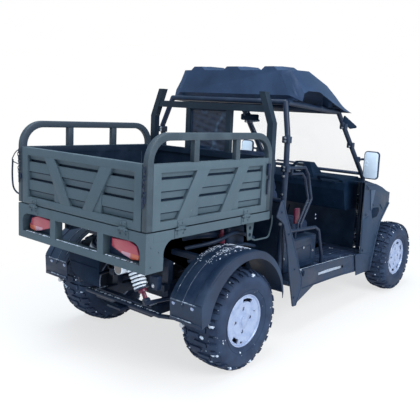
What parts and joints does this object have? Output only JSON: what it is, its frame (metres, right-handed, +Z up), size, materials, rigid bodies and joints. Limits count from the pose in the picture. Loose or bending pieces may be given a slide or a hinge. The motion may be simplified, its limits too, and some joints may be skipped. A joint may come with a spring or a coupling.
{
  "type": "side by side utility vehicle",
  "caption": "Side by side utility vehicle with an open cab, moulded roof, alloy wheels and a tipping cargo bed whose side and rear gates fold down.",
  "frame": {"origin": "middle of the footprint at ground height under the tyres", "axes": "+Y from front to rear along the vehicle, +X to the driver's left-hand side, +Z up"},
  "size_m": [1.437, 3.342, 1.851],
  "materials": {
    "tyre": "matt, moulded tread",
    "alloy": "satin cast alloy",
    "black_steel": "satin black powder coat",
    "springs": "white gloss enamel",
    "casting": "dull cast",
    "exhaust_steel": "dull heat-stained steel",
    "zinc_steel": "zinc plated",
    "black_plastic": "fine grain",
    "navy_plastic": "smooth moulded, near-black navy",
    "seat_vinyl": "soft vinyl, stitched",
    "clear_glass": "clear",
    "smoke_film": "smoked, slightly creased",
    "lamp_lens": "clear moulded lens",
    "red_lens": "moulded lens",
    "bed_paint": "satin grey-green paint"
  },
  "bodies": {
    "chassis": {"chassis_frame": "black_steel", "engine_block": "casting", "rear_final_drive": "casting", "front_final_drive": "casting", "exhaust": "exhaust_steel", "rear_knuckles": "black_steel", "rear_control_arms": "black_steel", "front_control_arms": "black_steel", "front_shocks": "springs", "rear_shocks": "springs", "floor_pan": "black_plastic", "side_skirts": "black_plastic", "quarter_fins": "black_plastic", "rear_cage_hoop": "black_steel", "front_cage_hoop": "black_steel", "roof": "navy_plastic", "windscreen": "clear_glass", "dashboard": "black_plastic", "seat_base": "black_plastic", "left_seat": "seat_vinyl", "right_seat": "seat_vinyl", "seat_guards": "black_steel", "hood": "navy_plastic", "front_fenders": "navy_plastic", "nose_grille": "black_plastic", "headlights": "lamp_lens", "door_mirrors": "black_plastic", "front_bumper": "black_steel", "rear_fenders": "black_plastic"},
    "left_steered_knuckle": {"left_front_knuckle": "black_steel"},
    "right_steered_knuckle": {"right_front_knuckle": "black_steel"},
    "left_front_wheel": {"left_front_tyre": "tyre", "left_front_rim": "alloy"},
    "right_front_wheel": {"right_front_tyre": "tyre", "right_front_rim": "alloy"},
    "left_rear_wheel": {"left_rear_tyre": "tyre", "left_rear_rim": "alloy"},
    "right_rear_wheel": {"right_rear_tyre": "tyre", "right_rear_rim": "alloy"},
    "steering": {"steering_wheel": "black_plastic"},
    "tipping_bed": {"bed_deck": "bed_paint", "rear_light_panel": "bed_paint", "headboard": "bed_paint", "headboard_screen": "smoke_film", "taillights": "red_lens"},
    "tailgate": {"tailgate": "bed_paint"},
    "left_gate": {"left_side_gate": "bed_paint"},
    "right_gate": {"right_side_gate": "bed_paint"},
    "strut_barrel": {"tilt_strut_barrel": "zinc_steel"},
    "strut_rod": {"tilt_strut_rod": "zinc_steel"}
  },
  "joints": [
    {"name": "bed_tilt", "type": "hinge", "parent": "chassis", "child": "tipping_bed", "pos_m": [0, 1.505, 0.8], "axis": [-1, 0, 0], "range_deg": [0, 40]},
    {"name": "tailgate_hinge", "type": "hinge", "parent": "tipping_bed", "child": "tailgate", "pos_m": [0, 1.663, 0.905], "axis": [-1, 0, 0], "range_deg": [0, 160]},
    {"name": "left_gate_hinge", "type": "hinge", "parent": "tipping_bed", "child": "left_gate", "pos_m": [0.58, 1.135, 0.905], "axis": [0, 1, 0], "range_deg": [0, 105]},
    {"name": "right_gate_hinge", "type": "hinge", "parent": "tipping_bed", "child": "right_gate", "pos_m": [-0.58, 1.135, 0.905], "axis": [0, -1, 0], "range_deg": [0, 105]},
    {"name": "left_steer", "type": "hinge", "parent": "chassis", "child": "left_steered_knuckle", "pos_m": [0.53, -1.245, 0.305], "axis": [0, 0, 1], "range_deg": [-28, 28]},
    {"name": "right_steer", "type": "hinge", "parent": "chassis", "child": "right_steered_knuckle", "pos_m": [-0.53, -1.245, 0.305], "axis": [0, 0, 1], "range_deg": [-28, 28]},
    {"name": "steering_wheel_turn", "type": "hinge", "parent": "chassis", "child": "steering", "pos_m": [0.26, -0.365, 1.03], "axis": [0, 0.8829, 0.4695], "range_deg": [-230, 230]},
    {"name": "left_front_wheel_spin", "type": "hinge", "parent": "left_steered_knuckle", "child": "left_front_wheel", "pos_m": [0.616, -1.245, 0.305], "axis": [1, 0, 0], "continuous": true},
    {"name": "right_front_wheel_spin", "type": "hinge", "parent": "right_steered_knuckle", "child": "right_front_wheel", "pos_m": [-0.616, -1.245, 0.305], "axis": [1, 0, 0], "continuous": true},
    {"name": "left_rear_wheel_spin", "type": "hinge", "parent": "chassis", "child": "left_rear_wheel", "pos_m": [0.575, 0.965, 0.305], "axis": [1, 0, 0], "continuous": true},
    {"name": "right_rear_wheel_spin", "type": "hinge", "parent": "chassis", "child": "right_rear_wheel", "pos_m": [-0.575, 0.965, 0.305], "axis": [1, 0, 0], "continuous": true},
    {"name": "strut_swing", "type": "hinge", "parent": "chassis", "child": "strut_barrel", "pos_m": [0.178, 1.185, 0.45], "axis": [-1, 0, 0], "range_deg": [0, 16]},
    {"name": "strut_slide", "type": "slide", "parent": "strut_barrel", "child": "strut_rod", "axis": [0, -0.2609, 0.9654], "range_m": [0, 0.26]}
  ],
  "couplings": [
    {"joint": "right_steer", "follows": "left_steer", "ratio": 1},
    {"joint": "steering_wheel_turn", "follows": "left_steer", "ratio": 8},
    {"joint": "strut_swing", "follows": "bed_tilt", "ratio": 0.397},
    {"joint": "strut_slide", "follows": "bed_tilt", "m_per_rad": 0.3688}
  ]
}
